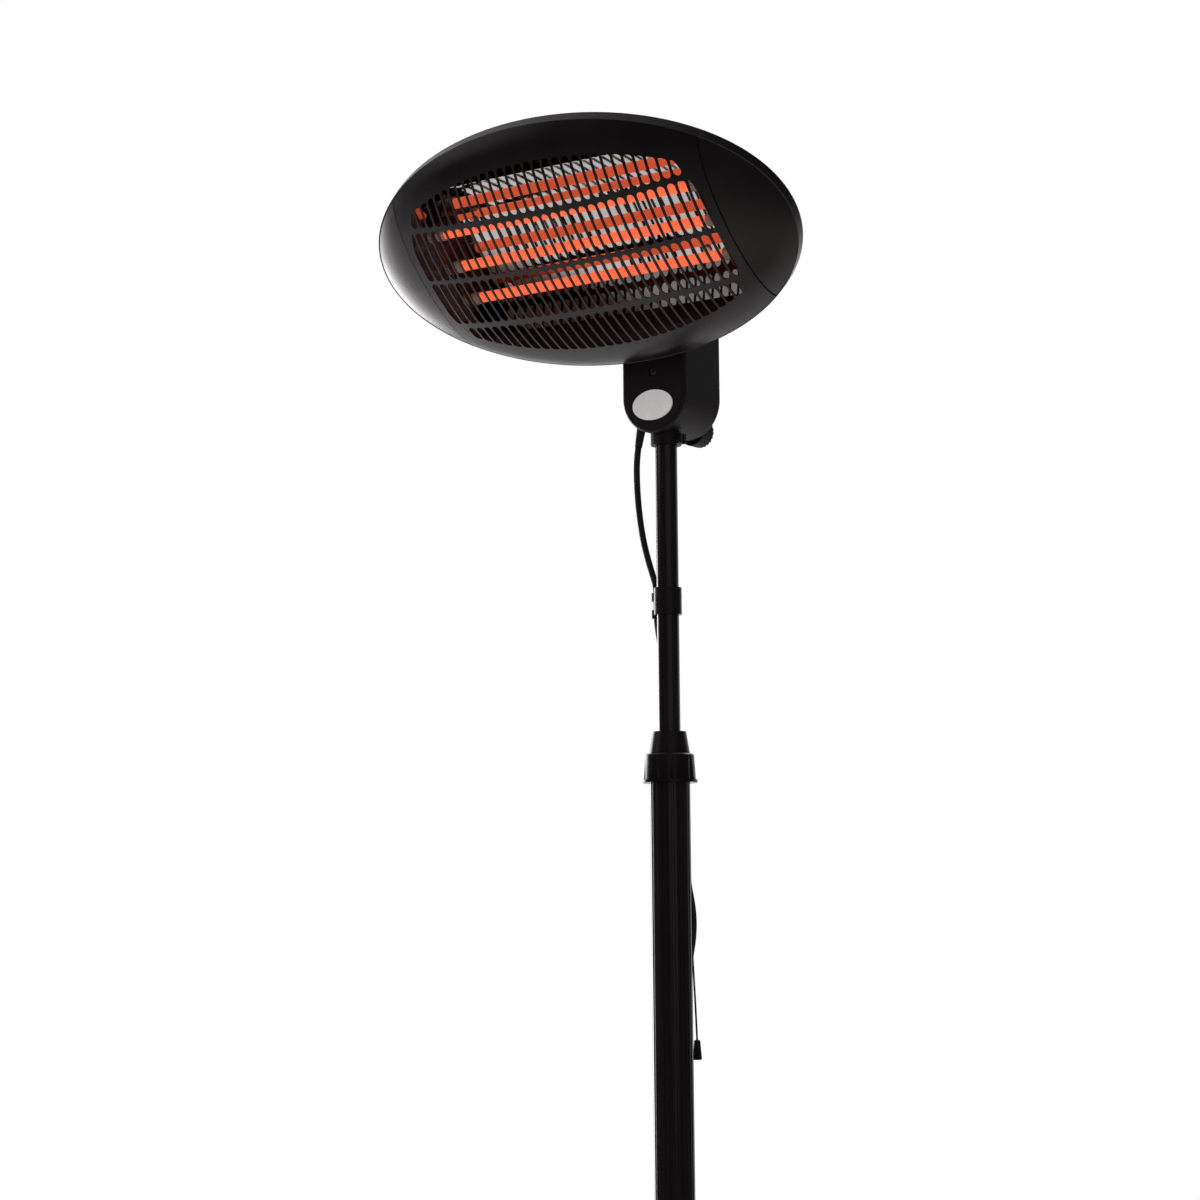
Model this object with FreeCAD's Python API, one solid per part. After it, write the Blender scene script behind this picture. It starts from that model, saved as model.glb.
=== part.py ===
import FreeCAD, Part
import math
import os

# Free-standing electric patio heater with a tilting elliptical head, in millimetres.
# The origin is the middle of the base on the floor, +Z is up and the head faces -Y.

V = FreeCAD.Vector
X_AXIS = V(1, 0, 0)
Y_AXIS = V(0, 1, 0)
Z_AXIS = V(0, 0, 1)
ORIGIN = V(0, 0, 0)

# Shared clearances
overrun = 20.0             # how far a cutting tool runs past what it cuts
run_clearance = 0.08       # radial clearance of a turning or sliding fit
gap_clearance = 0.3        # gap between pieces that move past each other
arc_reach_share = 0.45     # how much of a cord's run each of its arcs may take

# Base
base_radius = 260.0
base_edge_height = 14.0
base_edge_lift = 5.0
base_edge_round = 7.0
cover_wall = 2.0
cover_crown_height = 36.0
cover_boss_radius = 34.0
cover_boss_height = 66.0
cover_boss_draft = 6.0
weight_inset = 35.0
weight_radius = base_radius - weight_inset
weight_thickness = 7.0
foot_count = 6
foot_radius = 16.0
foot_inset = 30.0
foot_circle = weight_radius - foot_inset
foot_height = 5.0
socket_flange_radius = 52.0
socket_flange_thickness = 5.0
socket_wall = 3.0
socket_height = 84.0
socket_bolt_count = 4
socket_bolt_circle = 39.0
bolt_head_radius = 6.0
bolt_head_height = 4.0
bolt_shank_radius = 3.0

# Mast
lower_tube_radius = 20.0
lower_tube_wall = 2.0
flute_count = 24
flute_depth = 0.8
flute_land_share = 0.45
flute_floor_share = 0.35
tube_joint_height = 720.0
coupler_length = 120.0
coupler_wall = 2.0
lower_mast_top = 1398.0
upper_tube_radius = 11.15
upper_tube_wall = 1.5
upper_tube_length = 650.0
bush_length = 40.0

# Twist lock between the two tubes
collet_spigot_length = 50.0
collet_ring_radius = 20.6
collet_ring_height = 22.0
cone_base_radius = 20.3
cone_top_radius = 16.8
cone_height = 21.0
lock_nut_drop = 8.0
lock_nut_bottom = lower_mast_top - lock_nut_drop
lock_nut_height = 28.8
lock_nut_top_radius = 24.4
lock_nut_foot_radius = 26.0
lock_flange_radius = 27.6
lock_flange_height = 3.0
lock_rib_count = 8
lock_flute_radius = 9.0
lock_flute_depth = 1.0

# Bracket housing, whose heights are counted from its bottom
housing_bottom = 1741.0
housing_height = 162.0
housing_top = housing_bottom + housing_height
mast_in_housing = 50.0
mast_top = housing_bottom + mast_in_housing
housing_half_width = 38.5
housing_front = -22.5
housing_rear = 44.0
housing_corner = 16.0
housing_wall = 2.5
housing_round = 4.0
tilt_boss_radius = 11.0
tilt_pin_radius = 4.0
pivot_drop = 22.0
pivot_height = housing_top - pivot_drop
pivot_depth = 0.0
neck_half_width = 19.0
neck_slot_clearance = 2.0
neck_slot_drop = 24.0
neck_slot_back = 24.0
washer_thickness = 1.4
washer_radius = 10.0

# Cable clip on the upper tube
clip_drop = 232.7
clip_bottom = mast_top - clip_drop
clip_height = 27.3
clip_radius = 14.0
clip_slit_width = 5.0
hook_height = 8.5
hook_drop = 3.6
hook_overhang = 2.1
hook_wall = 1.8
hook_gap = 0.15
hook_mouth = 3.6
hook_arm = 9.0

# Socket that sits on the mast
collar_radius = 15.5
collar_drop = 10.5
collar_length = 67.5
collar_bottom = housing_bottom - collar_drop
collar_top = collar_bottom + collar_length
collar_slit_width = 2.0
collar_ear_reach = 6.0
collar_ear_thickness = 4.0
collar_ear_height = 10.0

# Clamp knob
knob_rise = 11.5
knob_height = housing_bottom + knob_rise
knob_radius = 15.5
knob_thickness = 18.0
knob_rib_count = 22
knob_rib_radius = 1.3
knob_hub_radius = 7.0
knob_hub_length = 2.0
stud_radius = 2.5
insert_radius = 4.0
insert_length = 9.0

# Badge and screws on the housing
badge_half_width = 24.2
badge_half_height = 15.4
badge_thickness = 1.2
badge_rise = 28.0
badge_height = housing_bottom + badge_rise
screw_head_radius = 3.8
screw_head_height = 2.2
screw_shank_radius = 1.7
screw_post_radius = 4.5
screw_sink = 1.2
counterbore_radius = 5.4
recess_length = 5.0
recess_width = 1.3
recess_depth = 1.4
front_screw_rise = 62.7
front_screw_height = housing_bottom + front_screw_rise
rear_screw_offset = 29.0
rear_screw_rise = 104.0
rear_screw_height = housing_bottom + rear_screw_rise

# Switches inside the housing
switch_width = 20.0
switch_depth = 13.0
switch_height = 28.0
switch_rise = 33.0
switch_bottom = housing_bottom + switch_rise
tip_switch_width = 16.0
tip_switch_depth = 14.0
tip_switch_height = 24.0
tip_switch_rise = 68.0
tip_switch_bottom = housing_bottom + tip_switch_rise
tip_switch_offset = 12.0

# Radiant head, measured in its own frame: x across, v up the panel, w out of the panel
head_tilt_deg = 46.45
head_reach = 140.9
head_rise = 29.6
head_centre = V(0, pivot_depth - head_reach, pivot_height + head_rise)
rim_half_width = 243.2
rim_half_height = 141.9
rim_depth = -5.0
lip_half_width = 242.0
lip_half_height = 140.3
lip_depth = 4.8
lip_gap = 0.6
ledge_width = 9.0
ledge_thickness = 3.0
dome_height = 37.3
dome_fullness_share = 0.97
panel_wall = 1.5
seam_half_width = 183.3
seam_gap = 1.2
cap_step = 0.5
cap_lip_reach = 4.0
cap_lip_gap = 0.3
shell_wall = 2.0
shell_depth = 58.0
shell_back_half_width = 185.0
shell_back_half_height = 92.0
shell_swell_depth_shares = (0.28, 0.68)
shell_swell_width_shares = (0.36, 0.74)

# Grille slots in the panel
slot_columns = 32
slot_pitch = 10.9
slot_width = 7.5
band_places = (62.7, 4.2, -53.7)
band_widths = (8.0, 5.0, 7.7)
window_half_width = 225.0
window_half_height = 112.0
window_end_radius = 160.0
window_end_offset = 14.0

# Reflector, tubes and their holders
tube_places = (39.55, 0.0, -39.55)
tube_depth = -1.3
tube_radius = 5.2
tube_bore = 4.2
tube_half_length = 152.0
coil_radius = 3.0
ceramic_radius = 6.4
ceramic_length = 20.0
ceramic_overlap = 4.0
reflector_depth = -17.5
reflector_wall = 0.6
reflector_floor_half_width = 170.0
reflector_floor_half_height = 50.0
reflector_mouth_half_width = 172.0
reflector_mouth_half_height = 88.0
reflector_rise = 14.0
holder_place = 158.0
holder_wall = 1.2
holder_half_height = 49.0
holder_top_margin = 4.0
holder_foot = 8.0
post_radius = 6.0
post_offset = 120.0
post_height_offset = 40.0
terminal_width = 62.0
terminal_height = 20.0
terminal_depth = 14.0
terminal_offset = 80.0

# Neck that carries the head on the housing
neck_plate_half_width = 34.0
neck_plate_low = -89.0
neck_plate_high = -48.0
neck_plate_thickness = 5.0
neck_boss_radius = 16.0
neck_screw_inset = 7.0

# Cords
lead_diameter = 6.6
gland_rise = 13.0
gland_top = V(-29.6, 0, housing_bottom + gland_rise)
gland_lean_deg = 12.0
gland_length = 22.0
gland_top_radius = 4.7
gland_end_radius = 3.7
gland_inner_length = 10.0
gland_flange_radius = 6.2
gland_flange_thickness = 2.0
lead_rise_in_clip = 13.7
lead_at_clip = V(-16.9, 4.5, clip_bottom + lead_rise_in_clip)
pull_diameter = 2.0
pull_start = V(-21.7, 34.8, switch_bottom)
grommet_radius = 3.5
grommet_length = 13.0
grommet_rise = 2.5
grommet_bottom = housing_bottom + grommet_rise
bell_top = V(-0.8, 43.4, 1135.7)
bell_height = 19.8
bell_top_radius = 3.3
bell_foot_radius = 4.8
bell_round = 1.0

# Put-away coil of the lead behind the base, and the plug
coil_outer_radius = 42.0
coil_step = 7.3
coil_turns_per_layer = 2
coil_tail_turn_share = 0.25
coil_standoff = 92.0
coil_centre = V(-25.0, base_radius + coil_standoff, 3.4)
tie_width = 9.0
tie_wall = 1.2
plug_radius = 18.0
plug_disc_length = 9.0
plug_taper_length = 32.0
plug_neck_radius = 6.5
plug_neck_length = 20.0
plug_place = coil_centre + V(-103.0, 34.0, 14.8)
plug_pin_radius = 2.4
plug_pin_length = 19.0
plug_pin_spacing = 19.0

lead_upper_route = [
    V(-36.6, 0.0, 1720.0),
    V(-36.8, 0.5, 1692.0),
    V(-34.8, 1.1, 1664.0),
    V(-30.9, 2.0, 1637.0),
    V(-25.5, 3.0, 1615.5),
    V(-20.5, 4.0, 1599.5),
    V(-16.9, 4.5, 1587.5),
]
lead_lower_route = [
    V(-16.9, 4.5, 1550.0),
    V(-13.0, 10.4, 1516.0),
    V(-12.0, 26.5, 1454.0),
    V(-10.5, 32.2, 1402.0),
    V(-8.6, 33.0, 1350.0),
    V(-4.2, 33.2, 1300.0),
    V(6.2, 33.2, 1252.0),
    V(-3.6, 33.4, 1205.0),
    V(-9.0, 33.2, 1150.0),
    V(-12.0, 32.6, 1080.0),
    V(-13.5, 32.2, 1000.0),
    V(-13.8, 32.0, 910.0),
    V(-13.0, 32.0, 820.0),
    V(-11.2, 32.2, 730.0),
    V(-9.0, 32.6, 640.0),
    V(-6.8, 33.2, 550.0),
    V(-5.0, 34.0, 460.0),
    V(-3.6, 35.2, 370.0),
    V(-2.6, 36.8, 285.0),
    V(-2.0, 39.2, 205.0),
    V(-1.5, 44.0, 140.0),
    V(-0.6, 56.0, 92.0),
    V(1.0, 80.0, 58.0),
    V(3.6, 116.0, 42.0),
    V(6.8, 160.0, 36.0),
    V(10.2, 204.0, 32.0),
    V(13.2, 246.0, 28.0),
    V(15.6, 284.0, 19.0),
    V(16.8, 316.0, 7.0),
    V(17.0, 340.0, 3.4),
]
lead_tail_route = [
    V(-46.0, 396.35, 10.7),
    V(-68.0, 392.6, 13.4),
    V(-92.0, 386.0, 18.2),
]
pull_route = [
    V(-21.7, 34.8, 1742.0),
    V(-21.5, 35.6, 1695.0),
    V(-20.9, 36.5, 1640.0),
    V(-19.8, 37.4, 1585.0),
    V(-18.3, 38.3, 1530.0),
    V(-16.5, 39.2, 1475.0),
    V(-14.3, 40.1, 1420.0),
    V(-11.8, 41.0, 1365.0),
    V(-9.1, 41.8, 1310.0),
    V(-6.3, 42.5, 1255.0),
    V(-3.7, 43.1, 1200.0),
    V(-1.8, 43.4, 1162.0),
]


def box(x0, x1, y0, y1, z0, z1):
    """A block between two corners."""
    return Part.makeBox(x1 - x0, y1 - y0, z1 - z0, V(x0, y0, z0))


def rod(radius, start, end):
    """A round bar from one point to another."""
    run = end - start
    return Part.makeCylinder(radius, run.Length, start, run)


def ring(outer, inner, z0, z1):
    """An upright tube about the mast's axis."""
    solid = rod(outer, V(0, 0, z0), V(0, 0, z1))
    hole = rod(inner, V(0, 0, z0 - overrun), V(0, 0, z1 + overrun))
    return solid.cut(hole)


def revolve(points):
    """A turned solid from an outline of (radius, height) pairs about the mast's axis."""
    outline = Part.makePolygon([V(r, 0, z) for r, z in points] + [V(points[0][0], 0, points[0][1])])
    return Part.Face(outline).revolve(ORIGIN, Z_AXIS, 360)


def ellipse_wire(half_width, half_height, w):
    """An ellipse across the head at a depth w."""
    edge = Part.Ellipse(ORIGIN, half_width, half_height).toShape()
    edge.translate(V(0, 0, w))
    return Part.Wire([edge])


def ellipse_prism(half_width, half_height, w0, w1):
    """An elliptical block between two depths."""
    return Part.Face(ellipse_wire(half_width, half_height, w0)).extrude(V(0, 0, w1 - w0))


def turned(shape, count, centre, axis):
    """Copies of a shape spread evenly round an axis."""
    copies = []
    for i in range(count):
        copy = shape.copy()
        copy.rotate(centre, axis, 360.0 * i / count)
        copies.append(copy)
    return copies


head_placement = FreeCAD.Placement(head_centre, FreeCAD.Rotation(X_AXIS, 90 + head_tilt_deg))
pivot = V(0, pivot_depth, pivot_height)
pivot_in_head = head_placement.inverse().multVec(pivot)


def in_head(shape):
    """A shape made in the head's own frame, moved to its place on the heater."""
    placed = shape.copy()
    placed.Placement = head_placement.multiply(placed.Placement)
    return placed


def route_edges(points):
    """Straight runs joined by arcs as large as the runs allow, and the arcs' radii."""
    edges, radii = [], []
    last = points[0]
    for before, corner, after in zip(points, points[1:], points[2:]):
        run_in, run_out = corner - before, after - corner
        half_turn = run_in.getAngle(run_out) / 2
        reach = arc_reach_share * min(run_in.Length, run_out.Length)
        u_in, u_out = V(run_in).normalize(), V(run_out).normalize()
        start, end = corner - u_in * reach, corner + u_out * reach
        radius = reach / math.tan(half_turn)
        inward = (u_out - u_in).normalize()
        middle = corner + inward * (radius / math.cos(half_turn) - radius)
        edges.append(Part.LineSegment(last, start).toShape())
        edges.append(Part.Arc(start, middle, end).toShape())
        radii.append(radius)
        last = end
    edges.append(Part.LineSegment(last, points[-1]).toShape())
    return edges, radii


def cord(name, points, diameter):
    """A cord's tube along its route; prints its length, bends and volume."""
    edges, radii = route_edges(points)
    path = Part.Wire(edges)
    section = Part.Wire([Part.makeCircle(diameter / 2, points[0], points[1] - points[0])])
    tube = path.makePipeShell([section], True, False)
    ideal = math.pi * diameter ** 2 / 4 * path.Length
    print(name, "length", round(path.Length, 1), "least radius", round(min(radii), 1),
          "volume over section times length", round(tube.Volume / ideal, 4))
    return tube


# Base

def base_cover():
    """Pressed cover: rolled edge, low crown and a raised boss round the tube socket."""
    crown_start = base_radius - base_edge_round
    boss_foot = cover_boss_radius + cover_boss_draft
    rim = base_radius
    outer = [(rim, base_edge_lift), (rim, base_edge_height - base_edge_round / 2),
             (crown_start, base_edge_height), (boss_foot, cover_crown_height),
             (cover_boss_radius, cover_boss_height)]
    bore = lower_tube_radius + socket_wall
    inner = [(bore, cover_boss_height), (bore, cover_boss_height - cover_wall),
             (cover_boss_radius - cover_wall, cover_boss_height - cover_wall),
             (boss_foot - cover_wall, cover_crown_height - cover_wall),
             (crown_start, base_edge_height - cover_wall),
             (rim - cover_wall, base_edge_height - base_edge_round / 2 - cover_wall),
             (rim - cover_wall, base_edge_lift)]
    return revolve(outer + inner)


weight_top = foot_height + weight_thickness


def base_weight():
    """Heavy disc under the cover."""
    return ring(weight_radius, lower_tube_radius - lower_tube_wall, foot_height, weight_top)


def feet():
    """Rubber feet under the disc."""
    foot = rod(foot_radius, V(foot_circle, 0, 0), V(foot_circle, 0, foot_height))
    return Part.makeCompound(turned(foot, foot_count, ORIGIN, Z_AXIS))


socket_floor = weight_top + socket_flange_thickness


def base_socket():
    """Flanged socket that takes the foot of the lower tube."""
    flange = rod(socket_flange_radius, V(0, 0, weight_top), V(0, 0, socket_floor))
    wall = ring(lower_tube_radius + socket_wall, lower_tube_radius,
                socket_floor, socket_floor + socket_height)
    hole = rod(bolt_shank_radius, V(socket_bolt_circle, 0, weight_top - overrun),
               V(socket_bolt_circle, 0, socket_floor + overrun))
    return flange.fuse(wall).cut(turned(hole, socket_bolt_count, ORIGIN, Z_AXIS)).removeSplitter()


def socket_bolts():
    """Bolts that hold the socket on the disc."""
    place = V(socket_bolt_circle, 0, socket_floor)
    head = rod(bolt_head_radius, place, place + V(0, 0, bolt_head_height))
    shank = rod(bolt_shank_radius, V(socket_bolt_circle, 0, weight_top), place)
    return Part.makeCompound(turned(head.fuse(shank), socket_bolt_count, ORIGIN, Z_AXIS))


# Mast

def fluted_tube(z0, z1):
    """Extruded tube with fine grooves down its outside."""
    points = []
    step = 2 * math.pi / flute_count
    slope_share = (1 - flute_land_share - flute_floor_share) / 2
    corners = ((0, 0), (flute_land_share, 0), (flute_land_share + slope_share, 1), (1 - slope_share, 1))
    for i in range(flute_count):
        for share, deep in corners:
            angle = (i + share) * step
            r = lower_tube_radius - deep * flute_depth
            points.append(V(r * math.cos(angle), r * math.sin(angle), z0))
    outline = Part.makePolygon(points + [points[0]])
    bore = rod(lower_tube_radius - lower_tube_wall, V(0, 0, z0 - overrun), V(0, 0, z1 + overrun))
    return Part.Face(outline).extrude(V(0, 0, z1 - z0)).cut(bore)


def lower_tube():
    return fluted_tube(socket_floor, tube_joint_height)


def middle_tube():
    return fluted_tube(tube_joint_height, lower_mast_top)


def tube_coupler():
    """Sleeve inside the joint of the two lower sections."""
    outer = lower_tube_radius - lower_tube_wall
    half = coupler_length / 2
    return ring(outer, outer - coupler_wall, tube_joint_height - half, tube_joint_height + half)


def lock_collet():
    """Collet at the top of the lower mast: spigot, ring and the cone that shows above the nut."""
    bore = upper_tube_radius + run_clearance
    spigot = lower_tube_radius - lower_tube_wall
    ring_top = lower_mast_top + collet_ring_height
    outline = [(bore, lower_mast_top - collet_spigot_length), (spigot, lower_mast_top - collet_spigot_length),
               (spigot, lower_mast_top), (collet_ring_radius, lower_mast_top), (collet_ring_radius, ring_top),
               (cone_base_radius, ring_top), (cone_top_radius, ring_top + cone_height),
               (bore, ring_top + cone_height)]
    return revolve(outline)


def lock_nut():
    """Ribbed nut that tightens the collet."""
    bore = collet_ring_radius + gap_clearance
    top = lock_nut_bottom + lock_nut_height
    flange_top = lock_nut_bottom + lock_flange_height
    chamfer = lock_flange_height / 2
    nut = revolve([(bore, lock_nut_bottom), (lock_flange_radius, lock_nut_bottom),
                   (lock_flange_radius, flange_top), (lock_nut_foot_radius, flange_top),
                   (lock_nut_top_radius, top - chamfer),
                   (lock_nut_top_radius - chamfer, top), (bore, top)])
    middle = (lock_nut_foot_radius + lock_nut_top_radius) / 2
    centre = middle + lock_flute_radius - lock_flute_depth
    flute = rod(lock_flute_radius, V(centre, 0, flange_top), V(centre, 0, top + overrun))
    return nut.cut(turned(flute, lock_rib_count, ORIGIN, Z_AXIS))


def upper_tube():
    return ring(upper_tube_radius, upper_tube_radius - upper_tube_wall,
                mast_top - upper_tube_length, mast_top)


def guide_bush():
    """Plastic bush at the foot of the upper tube, sliding in the lower one."""
    foot = mast_top - upper_tube_length
    bore = lower_tube_radius - lower_tube_wall
    return ring(bore - gap_clearance, upper_tube_radius, foot, foot + bush_length)


def cable_clip():
    """Snap-on collar with two hooks that hold the lead at its side."""
    top = clip_bottom + clip_height
    collar = ring(clip_radius, upper_tube_radius, clip_bottom, top)
    slit = box(-clip_slit_width / 2, clip_slit_width / 2, 0, clip_radius + overrun,
               clip_bottom - overrun, top + overrun)
    clip = collar.cut(slit)
    axis = V(lead_at_clip.x, lead_at_clip.y, 0)
    bore = lead_diameter / 2 + hook_gap
    channel = rod(bore, axis + V(0, 0, clip_bottom - overrun), axis + V(0, 0, top + overrun))
    tube = rod(upper_tube_radius, V(0, 0, clip_bottom - overrun), V(0, 0, top + overrun))
    for z in (clip_bottom - hook_overhang, top - hook_drop - hook_height):
        loop = rod(bore + hook_wall, axis + V(0, 0, z), axis + V(0, 0, z + hook_height))
        arm = box(axis.x, axis.x + hook_arm, axis.y - bore - hook_wall, axis.y, z, z + hook_height)
        mouth = box(axis.x - bore - hook_mouth, axis.x + bore, axis.y + bore / 2, axis.y + bore + hook_mouth,
                    z - overrun, z + hook_height + overrun)
        clip = clip.fuse(loop.cut(mouth).fuse(arm).cut(tube))
    return clip.cut(channel).removeSplitter()


# Bracket housing

def housing_outline(half_width, top, corner, y):
    """The housing's front outline: straight sides, a half-round bottom and rounded top corners."""
    middle = housing_bottom + housing_half_width
    dip = corner * (1 - math.sqrt(0.5))
    p = {
        "left": V(-half_width, y, middle),
        "bottom": V(0, y, middle - half_width),
        "right": V(half_width, y, middle),
        "right_top": V(half_width, y, top - corner),
        "right_turn": V(half_width - dip, y, top - dip),
        "top_right": V(half_width - corner, y, top),
        "top_left": V(-half_width + corner, y, top),
        "left_turn": V(-half_width + dip, y, top - dip),
        "left_top": V(-half_width, y, top - corner),
    }
    edges = [
        Part.Arc(p["left"], p["bottom"], p["right"]).toShape(),
        Part.LineSegment(p["right"], p["right_top"]).toShape(),
        Part.Arc(p["right_top"], p["right_turn"], p["top_right"]).toShape(),
        Part.LineSegment(p["top_right"], p["top_left"]).toShape(),
        Part.Arc(p["top_left"], p["left_turn"], p["left_top"]).toShape(),
        Part.LineSegment(p["left_top"], p["left"]).toShape(),
    ]
    return Part.Face(Part.Wire(edges))


gland_way = V(-math.sin(math.radians(gland_lean_deg)), 0, -math.cos(math.radians(gland_lean_deg)))
gland_end = gland_top + gland_way * gland_length
seam = pivot_depth
rear_screws = [V(s * rear_screw_offset, 0, rear_screw_height) for s in (-1, 1)]
screw_heads = [(V(0, housing_front + screw_sink, front_screw_height), Y_AXIS)]
screw_heads += [(V(p.x, housing_rear - screw_sink, p.z), -Y_AXIS) for p in rear_screws]


def housing():
    """The hollow housing before it is split into halves."""
    depth = housing_rear - housing_front
    outer = housing_outline(housing_half_width, housing_top, housing_corner, housing_front)
    solid = outer.extrude(V(0, depth, 0))
    edges = [e for e in solid.Edges if abs(e.BoundBox.YLength) < gap_clearance]
    solid = solid.makeFillet(housing_round, edges)
    inner = housing_outline(housing_half_width - housing_wall, housing_top - housing_wall,
                            housing_corner - housing_wall, housing_front + housing_wall)
    shell = solid.cut(inner.extrude(V(0, depth - 2 * housing_wall, 0)))
    inside = housing_half_width - housing_wall / 2
    reach = neck_half_width + neck_slot_clearance
    for side in (-1, 1):
        boss = rod(tilt_boss_radius, pivot + V(side * reach, 0, 0), pivot + V(side * inside, 0, 0))
        shell = shell.fuse(boss)
    front = V(0, housing_front + housing_wall / 2, front_screw_height)
    back = V(0, housing_rear - housing_wall / 2, front_screw_height)
    shell = shell.fuse(rod(screw_post_radius, front, back))
    for place in rear_screws:
        start = V(place.x, housing_front + housing_wall / 2, place.z)
        end = V(place.x, housing_rear - housing_wall / 2, place.z)
        shell = shell.fuse(rod(screw_post_radius, start, end))
    return shell.cut(housing_openings())


def housing_openings():
    """Every hole and slot through the housing's walls."""
    reach = neck_half_width + neck_slot_clearance
    tools = [box(-reach, reach, housing_front - overrun, pivot_depth + neck_slot_back,
                 pivot_height - neck_slot_drop, housing_top + overrun)]
    tools.append(rod(tilt_pin_radius, pivot - X_AXIS * (housing_half_width - housing_wall),
                     pivot + X_AXIS * (housing_half_width - housing_wall)))
    tools.append(rod(collar_radius, V(0, 0, housing_bottom - overrun), V(0, 0, housing_bottom + overrun)))
    tools.append(rod(stud_radius + gap_clearance, V(0, pivot_depth, knob_height),
                     V(0, housing_rear + overrun, knob_height)))
    tools.append(rod(gland_top_radius, gland_top - gland_way * overrun, gland_top + gland_way * overrun))
    tools.append(rod(grommet_radius, V(pull_start.x, pull_start.y, housing_bottom - overrun),
                     V(pull_start.x, pull_start.y, switch_bottom)))
    for head, way in screw_heads:
        tools.append(screw_space(head, way))
        tools.append(rod(counterbore_radius, head - way * overrun, head))
    return tools


screw_length = (housing_rear - housing_front) - 2 * housing_wall


def screw_space(head, way):
    """The room a housing screw takes, which is the screw itself."""
    cap = rod(screw_head_radius, head, head + way * screw_head_height)
    return cap.fuse(rod(screw_shank_radius, head + way * screw_head_height, head + way * screw_length))


def housing_screws():
    """Sunk screws that hold the halves together, with cross recesses."""
    screws = []
    for head, way in screw_heads:
        y0, y1 = sorted((head.y - way.y * overrun, head.y + way.y * recess_depth))
        screw = screw_space(head, way)
        for a, b in ((recess_length / 2, recess_width / 2), (recess_width / 2, recess_length / 2)):
            screw = screw.cut(box(head.x - a, head.x + a, y0, y1, head.z - b, head.z + b))
        screws.append(screw)
    return Part.makeCompound(screws)


def housing_half(whole, y0, y1):
    """One half of the clamshell."""
    reach = housing_half_width + overrun
    half = box(-reach, reach, y0, y1, housing_bottom - overrun, housing_top + overrun)
    return whole.common(half)


def tilt_pin():
    reach = X_AXIS * (housing_half_width - housing_wall)
    return rod(tilt_pin_radius, pivot - reach, pivot + reach)


def tilt_washers():
    """Friction washers at both sides of the neck."""
    washers = []
    reach = neck_half_width + neck_slot_clearance
    for side in (-1, 1):
        start = pivot + V(side * (reach - washer_thickness), 0, 0)
        end = pivot + V(side * reach, 0, 0)
        washers.append(rod(washer_radius, start, end).cut(rod(tilt_pin_radius, start, end)))
    return Part.makeCompound(washers)


def socket_collar():
    """Split sleeve that sits over the mast's top, with two ears below the housing."""
    bore = upper_tube_radius + run_clearance
    sleeve = ring(collar_radius, bore, collar_bottom, collar_top)
    ear_top = collar_bottom + collar_ear_height
    ears = box(bore, collar_radius + collar_ear_reach, -collar_ear_thickness - collar_slit_width / 2,
               collar_ear_thickness + collar_slit_width / 2, collar_bottom, ear_top)
    ears = ears.cut(rod(bore, V(0, 0, collar_bottom), V(0, 0, ear_top)))
    slit = box(0, collar_radius + collar_ear_reach + overrun, -collar_slit_width / 2, collar_slit_width / 2,
               collar_bottom - overrun, housing_bottom)
    hole = rod(insert_radius, V(0, 0, knob_height), V(0, collar_radius + overrun, knob_height))
    return sleeve.fuse(ears).cut([slit, hole]).removeSplitter()


def clamp_insert():
    """Threaded insert in the socket for the knob's stud."""
    start = V(0, upper_tube_radius + 2 * gap_clearance, knob_height)
    end = V(0, collar_radius + insert_length, knob_height)
    body = rod(insert_radius, start, end)
    return body.cut(rod(stud_radius + run_clearance, start, end))


def clamp_stud():
    start = V(0, upper_tube_radius + gap_clearance, knob_height)
    return rod(stud_radius, start, V(0, housing_rear + knob_hub_length, knob_height))


def clamp_knob():
    """Round ribbed knob behind the housing."""
    face = V(0, housing_rear + gap_clearance, knob_height)
    wheel_start = V(0, housing_rear + knob_hub_length, knob_height)
    wheel_end = wheel_start + V(0, knob_thickness, 0)
    wheel = rod(knob_radius, wheel_start, wheel_end)
    edge = V(knob_radius + knob_rib_radius / 2, 0, 0)
    groove = rod(knob_rib_radius, wheel_start + edge, wheel_end + edge)
    wheel = wheel.cut(turned(groove, knob_rib_count, wheel_start, Y_AXIS))
    hub = rod(knob_hub_radius, face, wheel_start).cut(rod(stud_radius, face, wheel_start))
    return wheel.fuse(hub).removeSplitter()


def badge():
    """Bare oval plate on the housing's front."""
    edge = Part.Ellipse(ORIGIN, badge_half_width, badge_half_height).toShape()
    plate = Part.Face(Part.Wire([edge])).extrude(V(0, 0, badge_thickness))
    plate.rotate(ORIGIN, X_AXIS, 90)
    plate.translate(V(0, housing_front, badge_height))
    return plate


def pull_switch():
    """Cord-operated switch block on the rear wall."""
    y1 = housing_rear - housing_wall
    body = box(pull_start.x - switch_width / 2, pull_start.x + switch_width / 2, y1 - switch_depth, y1,
               switch_bottom, switch_bottom + switch_height)
    inside = housing_half_width - housing_wall
    room = housing_outline(inside, housing_top, housing_corner, housing_front)
    return body.common(room.extrude(V(0, housing_rear - housing_front, 0)))


def tip_switch():
    """Tip-over switch on the front wall."""
    y0 = housing_front + housing_wall
    return box(tip_switch_offset, tip_switch_offset + tip_switch_width, y0, y0 + tip_switch_depth,
               tip_switch_bottom, tip_switch_bottom + tip_switch_height)


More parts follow.
